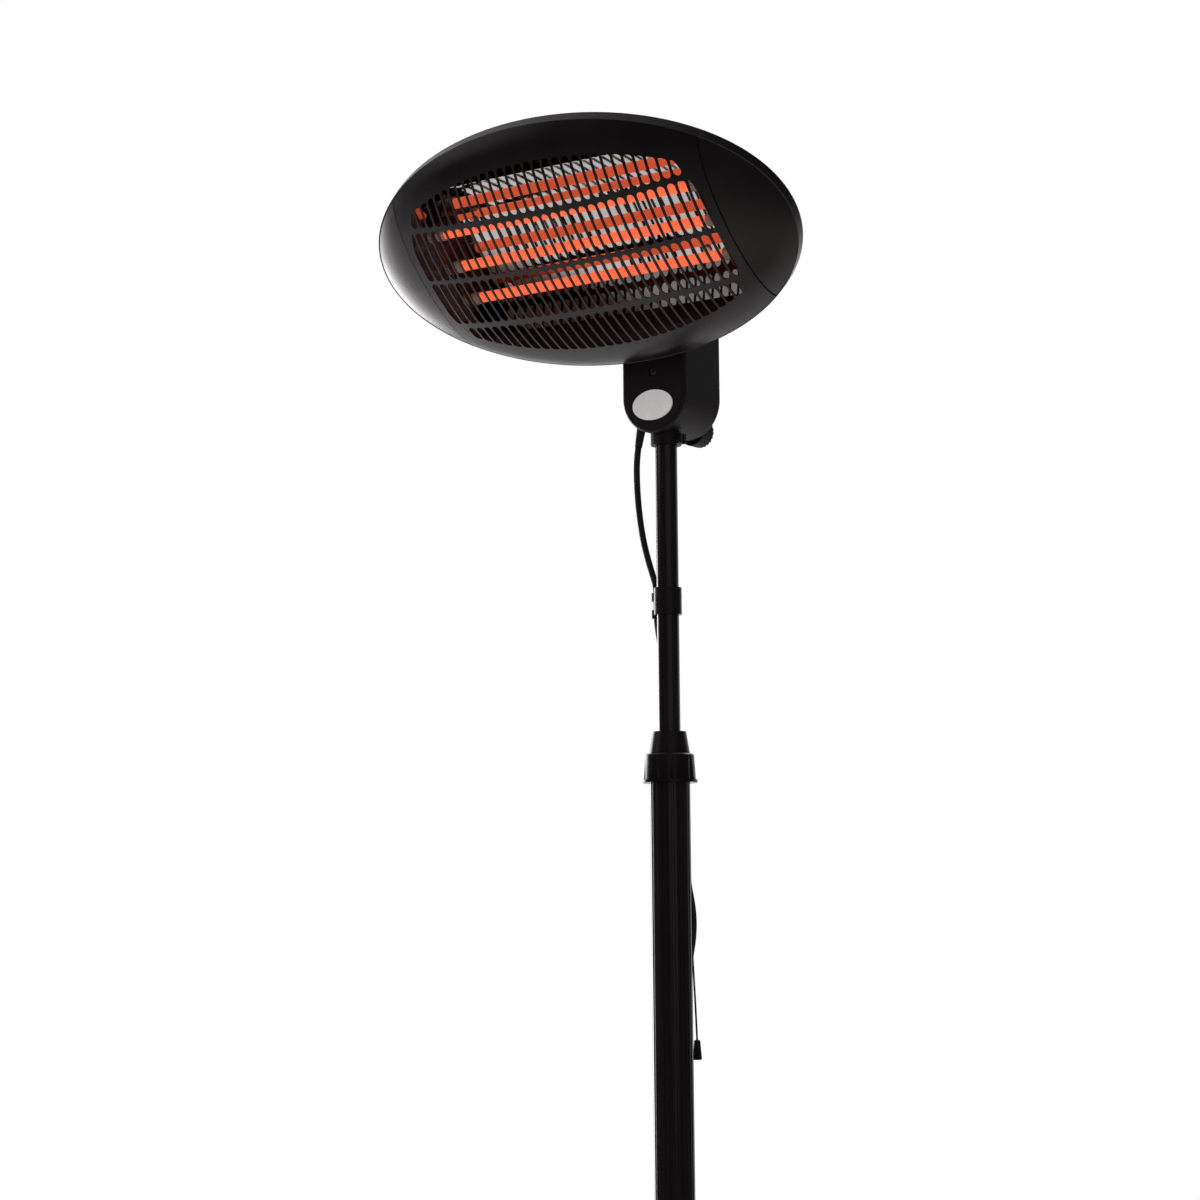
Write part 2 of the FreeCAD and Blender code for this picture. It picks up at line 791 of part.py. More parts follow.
def cable_gland():
    """Tapered strain relief of the lead, with its flange inside the wall."""
    inner_end = gland_top - gland_way * gland_inner_length
    sleeve = rod(gland_top_radius, inner_end, gland_top + gland_way * gland_flange_thickness)
    taper_start = gland_top + gland_way * gland_flange_thickness
    taper = Part.makeCone(gland_top_radius, gland_end_radius, gland_length - gland_flange_thickness,
                          taper_start, gland_way)
    flange = rod(gland_flange_radius, inner_end - gland_way * gland_flange_thickness, inner_end)
    bore = rod(lead_diameter / 2, inner_end - gland_way * overrun, gland_end + gland_way * overrun)
    return sleeve.fuse([taper, flange]).cut(bore).removeSplitter()


def cord_grommet():
    """Small sleeve that guides the pull cord out of the housing."""
    place = V(pull_start.x, pull_start.y, grommet_bottom)
    end = place + V(0, 0, grommet_length)
    sleeve = rod(grommet_radius, place, end)
    return sleeve.cut(rod(pull_diameter / 2 + run_clearance, place, end))


# Radiant head

def dome(shrink):
    """The panel's domed form above the lip, drawn in by an even amount."""
    fall = math.sqrt(1 - dome_fullness_share ** 2)
    rise = dome_height / (1 - fall)
    stretch = FreeCAD.Matrix()
    half_width = lip_half_width / dome_fullness_share
    half_height = lip_half_height / dome_fullness_share
    stretch.scale(V(half_width - shrink, half_height - shrink, rise - shrink))
    stretch.move(V(0, 0, lip_depth + dome_height - rise))
    ball = Part.makeSphere(1)
    ball.rotate(ORIGIN, Y_AXIS, 90)
    return ball.transformGeometry(stretch)


def head_slab(x0, x1, w0, w1):
    """A block in the head's frame that covers its whole height."""
    reach = rim_half_height + overrun
    return box(x0, x1, -reach, reach, w0, w1)


def dome_piece(x0, x1, step):
    """A stretch of the domed shell between two places across the head."""
    keep = head_slab(x0, x1, lip_depth, lip_depth + dome_height + overrun)
    return dome(step).common(keep).cut(dome(step + panel_wall))


def slot_window():
    """The rounded outline that the grille slots stay inside."""
    top = lip_depth + dome_height + overrun
    ends = [rod(window_end_radius, V(x, 0, 0), V(x, 0, top)) for x in (-window_end_offset, window_end_offset)]
    return ellipse_prism(window_half_width, window_half_height, 0, top).common(ends[0].fuse(ends[1]))


def slot(x, low, high, round_low, round_high):
    """One upright slot with round ends where it meets a band."""
    half = slot_width / 2
    low_start = low + half * round_low
    high_end = high - half * round_high
    corners = [V(x - half, low_start, 0), V(x + half, low_start, 0),
               V(x + half, high_end, 0), V(x - half, high_end, 0)]
    edges = [Part.LineSegment(corners[1], corners[2]).toShape(),
             Part.LineSegment(corners[3], corners[0]).toShape()]
    if round_low:
        edges.append(Part.Arc(corners[0], V(x, low, 0), corners[1]).toShape())
    else:
        edges.append(Part.LineSegment(corners[0], corners[1]).toShape())
    if round_high:
        edges.append(Part.Arc(corners[2], V(x, high, 0), corners[3]).toShape())
    else:
        edges.append(Part.LineSegment(corners[2], corners[3]).toShape())
    outline = Part.Wire(Part.__sortEdges__(edges))
    return Part.Face(outline).extrude(V(0, 0, lip_depth + dome_height + overrun))


def grille_slots():
    """All slots of the grille, clipped by the window's outline."""
    reach = window_half_height + overrun
    edges = [(place + width / 2, place - width / 2) for place, width in zip(band_places, band_widths)]
    rows = [(edges[0][0], reach, 1, 0)]
    for upper, lower in zip(edges, edges[1:]):
        rows.append((lower[0], upper[1], 1, 1))
    rows.append((-reach, edges[-1][1], 0, 1))
    window = slot_window()
    slots = []
    for low, high, round_low, round_high in rows:
        for column in range(slot_columns):
            x = (column - (slot_columns - 1) / 2) * slot_pitch
            piece = slot(x, low, high, round_low, round_high).common(window)
            if piece.Volume > slot_width ** 2 * lip_depth:
                slots.append(piece)
    return slots


def front_panel():
    """Domed front panel with its grille of slots."""
    half = seam_half_width - seam_gap / 2
    return dome_piece(-half, half, 0).cut(Part.makeCompound(grille_slots()))


def end_cap(side):
    """Closed end of the head beside the panel, set a little lower, with a lip behind the panel's edge."""
    inner, outer = seam_half_width + seam_gap / 2, lip_half_width + overrun
    cap = dome_piece(inner, outer, cap_step)
    lip = dome_piece(inner - cap_lip_reach, inner + cap_lip_reach, panel_wall + cap_lip_gap)
    cap = cap.fuse(lip).removeSplitter()
    if side < 0:
        cap.rotate(ORIGIN, Z_AXIS, 180)
    return cap


def shell_sections(shrink):
    """Ellipses of the rear shell from the rim back, drawn in by an even amount."""
    sections = [(rim_half_width, rim_half_height, rim_depth)]
    run = shell_depth + rim_depth
    for deep, drawn in zip(shell_swell_depth_shares, shell_swell_width_shares):
        width = rim_half_width + (shell_back_half_width - rim_half_width) * drawn
        height = rim_half_height + (shell_back_half_height - rim_half_height) * drawn
        sections.append((width, height, rim_depth - run * deep))
    sections.append((shell_back_half_width, shell_back_half_height, -shell_depth))
    return [(a - shrink, b - shrink, w) for a, b, w in sections]


def loft(sections):
    return Part.makeLoft([ellipse_wire(a, b, w) for a, b, w in sections], True, False)


def rear_shell():
    """Deep elliptical shell: sloping front band with a ledge for the panel, swelling back, posts inside."""
    lip = (lip_half_width + lip_gap, lip_half_height + lip_gap, lip_depth)
    band = loft([lip, (rim_half_width, rim_half_height, rim_depth)])
    back = loft(shell_sections(0))
    inner_sections = shell_sections(shell_wall)
    floor = (inner_sections[-1][0], inner_sections[-1][1], -shell_depth + shell_wall)
    hollow = loft(inner_sections[:-1] + [floor])
    throat_low = loft([(lip[0] - shell_wall, lip[1] - shell_wall, lip_depth - ledge_thickness),
                       (rim_half_width - shell_wall, rim_half_height - shell_wall, rim_depth)])
    mouth = ellipse_prism(lip_half_width - ledge_width, lip_half_height - ledge_width,
                          lip_depth - ledge_thickness, lip_depth + overrun)
    shell = band.fuse(back).cut([hollow, throat_low, mouth])
    posts = []
    for x in (-post_offset, post_offset):
        for v in (-post_height_offset, post_height_offset):
            posts.append(rod(post_radius, V(x, v, -shell_depth + shell_wall / 2),
                             V(x, v, reflector_depth - reflector_wall)))
    return shell.fuse(posts).removeSplitter()


def tray(shrink, w0):
    """A shallow tray's solid, wider at its mouth."""
    wires = []
    mouth_depth = reflector_depth + reflector_rise
    for a, b, w in ((reflector_floor_half_width, reflector_floor_half_height, w0),
                    (reflector_mouth_half_width, reflector_mouth_half_height, mouth_depth)):
        a, b = a - shrink, b - shrink
        wires.append(Part.makePolygon([V(-a, -b, w), V(a, -b, w), V(a, b, w), V(-a, b, w), V(-a, -b, w)]))
    return Part.makeLoft(wires, True, True)


def reflector():
    """Polished tray behind the tubes."""
    return tray(0, reflector_depth - reflector_wall).cut(tray(reflector_wall, reflector_depth))


def tube_axis_rods(radius, x0, x1):
    """Round bars along the three tube places."""
    return [rod(radius, V(x0, v, tube_depth), V(x1, v, tube_depth)) for v in tube_places]


def quartz_tubes():
    tubes = []
    for outer, inner in zip(tube_axis_rods(tube_radius, -tube_half_length, tube_half_length),
                            tube_axis_rods(tube_bore, -tube_half_length, tube_half_length)):
        tubes.append(outer.cut(inner))
    return Part.makeCompound(tubes)


ceramic_start = tube_half_length - ceramic_overlap


def heating_coils():
    """The wound elements inside the tubes, as plain rods held by the ceramic ends."""
    return Part.makeCompound(tube_axis_rods(coil_radius, -tube_half_length, tube_half_length))


def ceramic_ends():
    """Ceramic caps that close the tubes' ends."""
    caps = []
    for side in (-1, 1):
        start, end = side * ceramic_start, side * (ceramic_start + ceramic_length)
        bodies = tube_axis_rods(ceramic_radius, start, end)
        bores = tube_axis_rods(tube_radius, start, side * tube_half_length)
        caps += [body.cut(bore) for body, bore in zip(bodies, bores)]
    return Part.makeCompound(caps)


def tube_holder(side):
    """Bent plate that carries the ceramic ends on the reflector's floor."""
    top = tube_depth + ceramic_radius + holder_top_margin
    x0 = side * holder_place
    x1 = side * (holder_place + holder_wall)
    low, high = min(x0, x1), max(x0, x1)
    plate = box(low, high, -holder_half_height, holder_half_height, reflector_depth, top)
    toe = side * (holder_place - holder_foot)
    foot = box(min(toe, x1), max(toe, x1), -holder_half_height, holder_half_height, reflector_depth,
               reflector_depth + holder_wall)
    holes = tube_axis_rods(ceramic_radius, low - overrun, high + overrun)
    return plate.fuse(foot).cut(holes).removeSplitter()


def terminal_block():
    """Terminal block on the shell's back wall."""
    floor = -shell_depth + shell_wall
    return box(terminal_offset, terminal_offset + terminal_width, -terminal_height / 2, terminal_height / 2,
               floor, floor + terminal_depth)


def reflector_screws():
    """Screws through the reflector into the shell's posts."""
    screws = []
    for x in (-post_offset, post_offset):
        for v in (-post_height_offset, post_height_offset):
            screws.append(rod(screw_head_radius, V(x, v, reflector_depth),
                              V(x, v, reflector_depth + screw_head_height)))
    return Part.makeCompound(screws)


neck_back = -shell_depth


def neck():
    """Hinge neck on the shell's lower back, with the boss that turns on the tilt pin."""
    plate = box(-neck_plate_half_width, neck_plate_half_width, neck_plate_low, neck_plate_high,
                neck_back - neck_plate_thickness, neck_back)
    inset = neck_plate_thickness
    along = (pivot_in_head - V(0, (neck_plate_low + neck_plate_high) / 2, neck_back)).normalize()
    across = V(0, -along.z, along.y) * neck_boss_radius
    low, high = pivot_in_head - across, pivot_in_head + across
    corners = [V(-neck_half_width, neck_plate_low + inset, neck_back - inset / 2),
               V(-neck_half_width, low.y, low.z), V(-neck_half_width, high.y, high.z),
               V(-neck_half_width, neck_plate_high - inset, neck_back - inset / 2)]
    arm = Part.Face(Part.makePolygon(corners + [corners[0]])).extrude(V(2 * neck_half_width, 0, 0))
    reach = X_AXIS * neck_half_width
    boss = rod(neck_boss_radius, pivot_in_head - reach, pivot_in_head + reach)
    bore = rod(tilt_pin_radius + run_clearance, pivot_in_head - reach * 2, pivot_in_head + reach * 2)
    return plate.fuse([arm, boss]).cut(bore).removeSplitter()


def neck_screws():
    """Screw heads on the neck's plate."""
    screws = []
    for x in (-neck_plate_half_width + neck_screw_inset, neck_plate_half_width - neck_screw_inset):
        for v in (neck_plate_low + neck_screw_inset, neck_plate_high - neck_screw_inset):
            top = neck_back - neck_plate_thickness
            screws.append(rod(screw_head_radius, V(x, v, top - screw_head_height), V(x, v, top)))
    return Part.makeCompound(screws)


# Cords

def lead_upper():
    return cord("mains lead above the clip", [gland_end] + lead_upper_route + [lead_at_clip], lead_diameter)


coil_start = coil_centre + V(coil_outer_radius, 0, 0)


def lead_lower():
    return cord("mains lead below the clip", [lead_at_clip] + lead_lower_route + [coil_start], lead_diameter)


coil_total_turns = 2 * coil_turns_per_layer + coil_tail_turn_share


def coil_point(turn):
    """A place on the coil's winding line: in through one layer, up, and out through the next."""
    middle = coil_turns_per_layer
    r = coil_outer_radius - coil_step * (middle - abs(turn - middle))
    climb = min(max((turn - middle) * 2 + 0.5, 0), 1)
    lift = climb * climb * (3 - 2 * climb)
    angle = 2 * math.pi * turn
    return coil_centre + V(r * math.cos(angle), r * math.sin(angle), coil_step * lift)


def coil_tangent(turn):
    """The winding line's direction at a place."""
    small = 1e-4
    before, after = max(turn - small, 0), min(turn + small, coil_total_turns)
    if turn == 0:
        return V(0, 1, 0)
    return (coil_point(after) - coil_point(before)).normalize()


def arc_through(start, corner, end):
    """An arc that leaves along start to corner and arrives along corner to end."""
    half_chord = (start + end) * 0.5
    to_corner = corner - half_chord
    half_angle = math.atan2(to_corner.Length, (end - start).Length / 2)
    sagitta = (end - start).Length / 2 * math.tan(half_angle / 2)
    return Part.Arc(start, half_chord + to_corner.normalize() * sagitta, end).toShape()


def biarc(p0, t0, p1, t1):
    """Two tangent arcs between two places with given directions."""
    chord = p1 - p0
    both = t0 + t1
    a = 2 * (1 - t0.dot(t1))
    b = 2 * chord.dot(both)
    c = chord.dot(chord)
    reach = c / b if abs(a) < 1e-9 else (math.sqrt(b * b + 4 * a * c) - b) / (2 * a)
    q0, q1 = p0 + t0 * reach, p1 - t1 * reach
    joint = (q0 + q1) * 0.5
    return [arc_through(p0, q0, joint), arc_through(joint, q1, p1)]


coil_end = coil_point(coil_total_turns)
coil_end_way = coil_tangent(coil_total_turns)
coil_out = coil_end + coil_end_way * lead_diameter


def lead_coil():
    """The put-away length of the lead, wound in two layers as one unbroken tube."""
    steps = int(round(coil_total_turns * 4))
    edges = []
    for i in range(steps):
        turn, after = coil_total_turns * i / steps, coil_total_turns * (i + 1) / steps
        edges += biarc(coil_point(turn), coil_tangent(turn), coil_point(after), coil_tangent(after))
    edges.append(Part.LineSegment(coil_end, coil_out).toShape())
    path = Part.Wire(edges)
    section = Part.Wire([Part.makeCircle(lead_diameter / 2, coil_start, Y_AXIS)])
    tube = path.makePipeShell([section], True, False)
    samples = [p for e in edges for p in e.discretize(12)[:-1]]
    spread = int(len(samples) / coil_total_turns / 2)
    gap = min((p - q).Length for i, p in enumerate(samples) for q in samples[i + spread:]) - lead_diameter
    print("coil length", round(path.Length, 1), "least gap to itself", round(gap, 2))
    return tube


def coil_tie():
    """Strap round the coil's bundle of turns."""
    inner = coil_outer_radius - coil_step * coil_turns_per_layer - lead_diameter / 2 - gap_clearance
    outer = coil_outer_radius + lead_diameter / 2 + gap_clearance
    low = coil_centre.z - lead_diameter / 2
    high = coil_centre.z + coil_step + lead_diameter / 2 + gap_clearance
    x, y, half = coil_centre.x, coil_centre.y, tie_width / 2
    strap = box(x - outer - tie_wall, x - inner + tie_wall, y - half, y + half, low, high + tie_wall)
    room = box(x - outer, x - inner, y - half - overrun, y + half + overrun, low - overrun, high)
    return strap.cut(room)


def lead_tail():
    return cord("mains lead to the plug", [coil_out] + lead_tail_route + [plug_place], lead_diameter)


def plug_body():
    """Round two-pin plug, lying on the floor."""
    length = plug_neck_length + plug_taper_length + plug_disc_length
    bore = lead_diameter / 2
    outline = [(0, plug_neck_length), (bore, plug_neck_length), (bore, 0), (bore + cover_wall, 0),
               (plug_neck_radius, plug_neck_length), (plug_radius, plug_neck_length + plug_taper_length),
               (plug_radius, length), (0, length)]
    body = revolve(outline)
    body.rotate(ORIGIN, Y_AXIS, -90)
    body.translate(plug_place + X_AXIS * plug_neck_length)
    return body


def plug_pins():
    """Contact pins of the plug."""
    face = plug_place - X_AXIS * (plug_taper_length + plug_disc_length)
    pins = []
    for side in (-1, 1):
        start = face + V(0, side * plug_pin_spacing / 2, 0)
        pins.append(rod(plug_pin_radius, start, start - X_AXIS * plug_pin_length))
    return Part.makeCompound(pins)


def pull_cord():
    return cord("pull cord", [pull_start] + pull_route + [bell_top], pull_diameter)


def pull_bell():
    """Bell-shaped pull at the cord's end."""
    foot = -bell_height
    bell = revolve([(0, foot), (bell_foot_radius - bell_round, foot), (bell_foot_radius, foot + bell_round),
                    (bell_top_radius, -bell_round), (bell_top_radius - bell_round, 0), (0, 0)])
    bell.translate(bell_top)
    return bell


def build():
    """Every piece by name."""
    shell = housing()
    parts = {
        "base_cover": base_cover(),
        "base_weight": base_weight(),
        "feet": feet(),
        "base_socket": base_socket(),
        "socket_bolts": socket_bolts(),
        "lower_tube": lower_tube(),
        "middle_tube": middle_tube(),
        "tube_coupler": tube_coupler(),
        "lock_collet": lock_collet(),
        "lock_nut": lock_nut(),
        "upper_tube": upper_tube(),
        "guide_bush": guide_bush(),
        "cable_clip": cable_clip(),
        "housing_front": housing_half(shell, housing_front - overrun, seam),
        "housing_rear": housing_half(shell, seam, housing_rear + overrun),
        "housing_screws": housing_screws(),
        "socket_collar": socket_collar(),
        "clamp_insert": clamp_insert(),
        "clamp_stud": clamp_stud(),
        "clamp_knob": clamp_knob(),
        "tilt_pin": tilt_pin(),
        "tilt_washers": tilt_washers(),
        "badge": badge(),
        "pull_switch": pull_switch(),
        "tip_switch": tip_switch(),
        "cable_gland": cable_gland(),
        "cord_grommet": cord_grommet(),
        "pull_cord": pull_cord(),
        "pull_bell": pull_bell(),
        "lead_upper": lead_upper(),
        "lead_lower": lead_lower(),
        "lead_coil": lead_coil(),
        "coil_tie": coil_tie(),
        "lead_tail": lead_tail(),
        "plug_body": plug_body(),
        "plug_pins": plug_pins(),
    }
    head_parts = {
        "front_panel": front_panel(),
        "end_cap_left": end_cap(-1),
        "end_cap_right": end_cap(1),
        "rear_shell": rear_shell(),
        "reflector": reflector(),
        "reflector_screws": reflector_screws(),
        "quartz_tubes": quartz_tubes(),
        "heating_coils": heating_coils(),
        "ceramic_ends": ceramic_ends(),
        "tube_holder_left": tube_holder(-1),
        "tube_holder_right": tube_holder(1),
        "terminal_block": terminal_block(),
        "neck": neck(),
        "neck_screws": neck_screws(),
    }
    for name, shape in head_parts.items():
        parts[name] = in_head(shape)
    return parts


def main():
    os.makedirs("parts", exist_ok=True)
    for name, shape in build().items():
        shape.exportStep(os.path.join("parts", name + ".step"))


main()
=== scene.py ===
import math

import bmesh
import bpy
from mathutils import Matrix, Vector
from mathutils.geometry import delaunay_2d_cdt


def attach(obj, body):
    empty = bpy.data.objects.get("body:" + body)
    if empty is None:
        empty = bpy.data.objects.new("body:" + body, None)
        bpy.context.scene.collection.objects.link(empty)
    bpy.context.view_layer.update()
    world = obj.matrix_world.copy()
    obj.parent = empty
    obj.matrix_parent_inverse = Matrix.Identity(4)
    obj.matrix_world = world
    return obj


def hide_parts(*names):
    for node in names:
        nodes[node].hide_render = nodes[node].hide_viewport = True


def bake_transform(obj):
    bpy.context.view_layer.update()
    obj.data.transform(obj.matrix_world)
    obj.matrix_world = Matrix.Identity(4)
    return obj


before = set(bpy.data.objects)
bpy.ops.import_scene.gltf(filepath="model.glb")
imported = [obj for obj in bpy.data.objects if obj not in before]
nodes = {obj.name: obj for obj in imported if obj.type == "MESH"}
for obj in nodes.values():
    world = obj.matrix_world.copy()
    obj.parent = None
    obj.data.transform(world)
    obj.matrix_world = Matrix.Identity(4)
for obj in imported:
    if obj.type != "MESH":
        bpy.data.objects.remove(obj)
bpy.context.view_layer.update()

# Camera, from the photograph's viewing angle (image taken as 1200 x 1200)
image_side = 1200.0
view_turn = 0.627287       # radians to the right of the heater's front
view_rise = 0.121898       # radians upwards
view_roll = -0.0087835
focal_pixels = 2799.7
target = Vector((0.0, 0.0, 1.711))
target_depth = 2.8262
target_pixel = (666.3, 464.76)
sensor_width = 36.0

# Studio: the backdrop's side, where its white starts and is full, and the light's levels
backdrop_way = (-0.583, 0.804, 0.12)
backdrop_edge = (0.2, 1.0)
room_level = 0.04
world_level = 0.7
white = (1.0, 1.0, 1.0, 1.0)
floor_radius = 6.0
floor_sides = 96
floor_colour = (0.86, 0.86, 0.86)
# Painted shade on the floor under the camera's side, which only gloss shows: its level, and where
# it starts and ends
front_floor_share = 0.12
front_floor_run = (-1.8, 0.4)
# What the lamps are aimed at, and the spread of a lamp that isn't narrowed
head_middle = (0.0, -0.14, 1.9)
mast_upper = (0.0, 0.0, 1.5)
mast_middle = (0.0, 0.0, 1.2)
full_spread_deg = 180.0

# Painted dark reflection at the reflector's lower left: the way from its reddish brown to bright,
# and where that starts and ends
dark_reflection_way = Vector((1.0, -1.5, 1.43))
dark_reflection_run = (2.77, 2.86)
dark_reflection_colour = (0.07, 0.032, 0.024, 1.0)

# A place inside the rear shell, from which its inside is told from its outside, and where, going
# out from the middle, the painted glow of the tubes' light on that inside starts and is full
shell_middle = (0.0, -0.134, 1.9178)
shell_glow_run = (0.13, 0.2)
shell_glow_dark = (0.22, 0.075, 0.055)
shell_glow_light = (0.46, 0.19, 0.145)
shell_lining = (0.045, 0.016, 0.012, 1.0)

# Gloss of the finishes: plain, or a little warm for black paint, plastic and drawn tube
plain_gloss = (1.0, 1.0, 1.0)
warm_gloss = (1.0, 0.85, 0.88)
# The middle stretches of a noise texture that colours and other values follow
noise_colour_run = (0.35, 0.65)
noise_value_run = (0.3, 0.7)

# Front panel, in millimetres in the head's own frame: x across, v up the panel, depths out of it
millimetre = 0.001
head_place = Vector((0.0, -0.1409, 1.9106))
head_turn_deg = 136.45
panel_half_width = 182.7
panel_edge_depth = 4.8
panel_wall = 1.5
dome_half_width = 249.485
dome_half_height = 144.639
dome_rise = 49.282
dome_floor = -7.182
panel_step = 5.0
panel_fill_step = 8.0
panel_sharp_deg = 35.0
slot_columns = 32
slot_pitch = 10.9
slot_width = 8.6
slot_end_points = 8
slot_least_points = 3
slot_least_height = 1.5
band_places = (62.7, 4.2, -53.7)
band_widths = (4.6, 3.6, 5.8)
window_half_width = 225.0
window_top = 112.0
window_bottom = 103.0
window_corner_share = 0.5
window_end_radius = 165.0
window_end_reach = 178.0
# The triangulation's mode, which keeps what lies inside the outlines, and its joining gap
triangles_inside = 1
join_gap = 1e-4

# Cords, in metres; apart from the lead's bend under the clip, their routes are the solid tubes'
lead_diameter = 0.0066
pull_diameter = 0.002
tube_sides = 16
line_steps = 8
coil_points_per_turn = 16
coil_centre = Vector((-0.025, 0.352, 0.0034))
coil_outer_radius = 0.042
coil_step = 0.0073
coil_turns_per_layer = 2
coil_tail_turn_share = 0.25
coil_climb_turns = 0.5

lead_upper_route = [
    (-0.034174, 0.0, 1.732481),
    (-0.0366, 0.0, 1.720),
    (-0.0368, 0.0005, 1.692),
    (-0.0348, 0.0011, 1.664),
    (-0.0309, 0.002, 1.637),
    (-0.0255, 0.003, 1.6155),
    (-0.0205, 0.004, 1.5995),
    (-0.0169, 0.0045, 1.5875),
    (-0.0169, 0.0045, 1.572),
]
lead_lower_route = [
    (-0.0169, 0.0045, 1.572),
    (-0.0169, 0.0045, 1.557),
    (-0.0203, 0.0108, 1.547),
    (-0.0220, 0.0192, 1.526),
    (-0.0201, 0.0249, 1.495),
    (-0.0165, 0.0298, 1.447),
    (-0.0105, 0.0322, 1.402),
    (-0.0086, 0.033, 1.350),
    (-0.0042, 0.0332, 1.300),
    (0.0062, 0.0332, 1.252),
    (-0.0036, 0.0334, 1.205),
    (-0.009, 0.0332, 1.150),
    (-0.012, 0.0326, 1.080),
    (-0.0135, 0.0322, 1.000),
    (-0.0138, 0.032, 0.910),
    (-0.013, 0.032, 0.820),
    (-0.0112, 0.0322, 0.730),
    (-0.009, 0.0326, 0.640),
    (-0.0068, 0.0332, 0.550),
    (-0.005, 0.034, 0.460),
    (-0.0036, 0.0352, 0.370),
    (-0.0026, 0.0368, 0.285),
    (-0.002, 0.0392, 0.205),
    (-0.0015, 0.044, 0.140),
    (-0.0006, 0.056, 0.092),
    (0.001, 0.080, 0.058),
    (0.0036, 0.116, 0.042),
    (0.0068, 0.160, 0.036),
    (0.0102, 0.204, 0.032),
    (0.0132, 0.246, 0.028),
    (0.0156, 0.284, 0.019),
    (0.0168, 0.316, 0.007),
    (0.017, 0.340, 0.0034),
]
lead_tail_route = [
    (-0.046, 0.39635, 0.0107),
    (-0.068, 0.3926, 0.0134),
    (-0.092, 0.386, 0.0182),
    (-0.128, 0.386, 0.0182),
]
pull_route = [
    (-0.0217, 0.0348, 1.774),
    (-0.0217, 0.0348, 1.742),
    (-0.0215, 0.0356, 1.695),
    (-0.0209, 0.0365, 1.640),
    (-0.0198, 0.0374, 1.585),
    (-0.0183, 0.0383, 1.530),
    (-0.0165, 0.0392, 1.475),
    (-0.0143, 0.0401, 1.420),
    (-0.0118, 0.0410, 1.365),
    (-0.0091, 0.0418, 1.310),
    (-0.0063, 0.0425, 1.255),
    (-0.0037, 0.0431, 1.200),
    (-0.0018, 0.0434, 1.162),
    (-0.0008, 0.0434, 1.1357),
]


# Small helpers

def link(obj):
    """Put an object into the scene."""
    bpy.context.scene.collection.objects.link(obj)
    return obj


def smooth_step(share):
    """A share from 0 to 1, eased at both ends."""
    return share * share * (3 - 2 * share)


def steps(start, end, size):
    """Even places from start to end, both among them."""
    count = max(1, math.ceil(abs(end - start) / size))
    return [start + (end - start) * i / count for i in range(count + 1)]


def nurbs_line(name, points):
    """A smooth line with the route's points as its control points."""
    curve = bpy.data.curves.new(name, "CURVE")
    curve.dimensions = "3D"
    curve.resolution_u = line_steps
    spline = curve.splines.new("NURBS")
    spline.points.add(len(points) - 1)
    for point, place in zip(spline.points, points):
        point.co = (*place, 1.0)
    spline.order_u = 3
    spline.use_endpoint_u = True
    return curve


def line_points(curve):
    """The smooth line's own points."""
    holder = bpy.data.objects.new(curve.name + "_line", curve)
    mesh = bpy.data.meshes.new_from_object(holder)
    points = [v.co.copy() for v in mesh.vertices]
    bpy.data.objects.remove(holder)
    bpy.data.meshes.remove(mesh)
    return points


def tube_mesh(name, points, radius):
    """A round tube along a line of points, with closed ends."""
    bm = bmesh.new()
    tangents = []
    for i in range(len(points)):
        before, after = points[max(i - 1, 0)], points[min(i + 1, len(points) - 1)]
        tangents.append((after - before).normalized())
    side = tangents[0].orthogonal().normalized()
    rings = []
    for place, tangent in zip(points, tangents):
        side = (side - tangent * side.dot(tangent)).normalized()
        other = tangent.cross(side)
        ring = []
        for k in range(tube_sides):
            angle = 2 * math.pi * k / tube_sides
            way = side * math.cos(angle) + other * math.sin(angle)
            ring.append(bm.verts.new(place + way * radius))
        rings.append(ring)
    for low, high in zip(rings, rings[1:]):
        for k in range(tube_sides):
            after = (k + 1) % tube_sides
            bm.faces.new((low[k], low[after], high[after], high[k]))
    bm.faces.new(list(reversed(rings[0])))
    bm.faces.new(rings[-1])
    for face in bm.faces:
        face.smooth = len(face.verts) == 4
    mesh = bpy.data.meshes.new(name)
    bm.to_mesh(mesh)
    bm.free()
    return link(bpy.data.objects.new(name, mesh))


# Shader nodes

def add(tree, kind, **settings):
    """A new shader node with its settings."""
    node = tree.nodes.new("ShaderNode" + kind)
    for setting, value in settings.items():
        setattr(node, setting, value)
    return node


def feed(tree, source, socket):
    """Link another node's output to a socket, or set a constant there."""
    if isinstance(source, bpy.types.NodeSocket):
        tree.links.new(source, socket)
    else:
        socket.default_value = source


def map_range(tree, source, run, result=(0.0, 1.0), interpolation="LINEAR"):
    """A number that goes from one result to the other while the source goes through a run."""
    node = add(tree, "MapRange", interpolation_type=interpolation)
    values = (source, *run, *result)
    for value, name in zip(values, ("Value", "From Min", "From Max", "To Min", "To Max")):
        feed(tree, value, node.inputs[name])
    return node.outputs["Result"]


def mix(tree, kind, factor, first, second):
    """Two numbers or colours, mixed by a factor."""
    node = add(tree, "Mix", data_type=kind)
    for value, name in ((factor, "Factor"), (first, "A"), (second, "B")):
        feed(tree, value, node.inputs[name])
    return node.outputs["Result"]


def colours(tree, source, first, last, run=(0.0, 1.0)):
    """A colour between two, by a number that goes through a run."""
    ramp = add(tree, "ValToRGB")
    for element, place, colour in zip(ramp.color_ramp.elements, run, (first, last)):
        element.position = place
        element.color = (*colour, 1.0)
    tree.links.new(source, ramp.inputs["Fac"])
    return ramp.outputs["Color"]


def vector_math(tree, operation, first, second):
    """A calculation with two vectors."""
    node = add(tree, "VectorMath", operation=operation)
    feed(tree, first, node.inputs[0])
    feed(tree, second, node.inputs[1])
    return node


def along(tree, way, coordinates="Object"):
    """How far a point lies along a direction."""
    place = add(tree, "TexCoord").outputs[coordinates]
    return vector_math(tree, "DOT_PRODUCT", place, way).outputs["Value"]


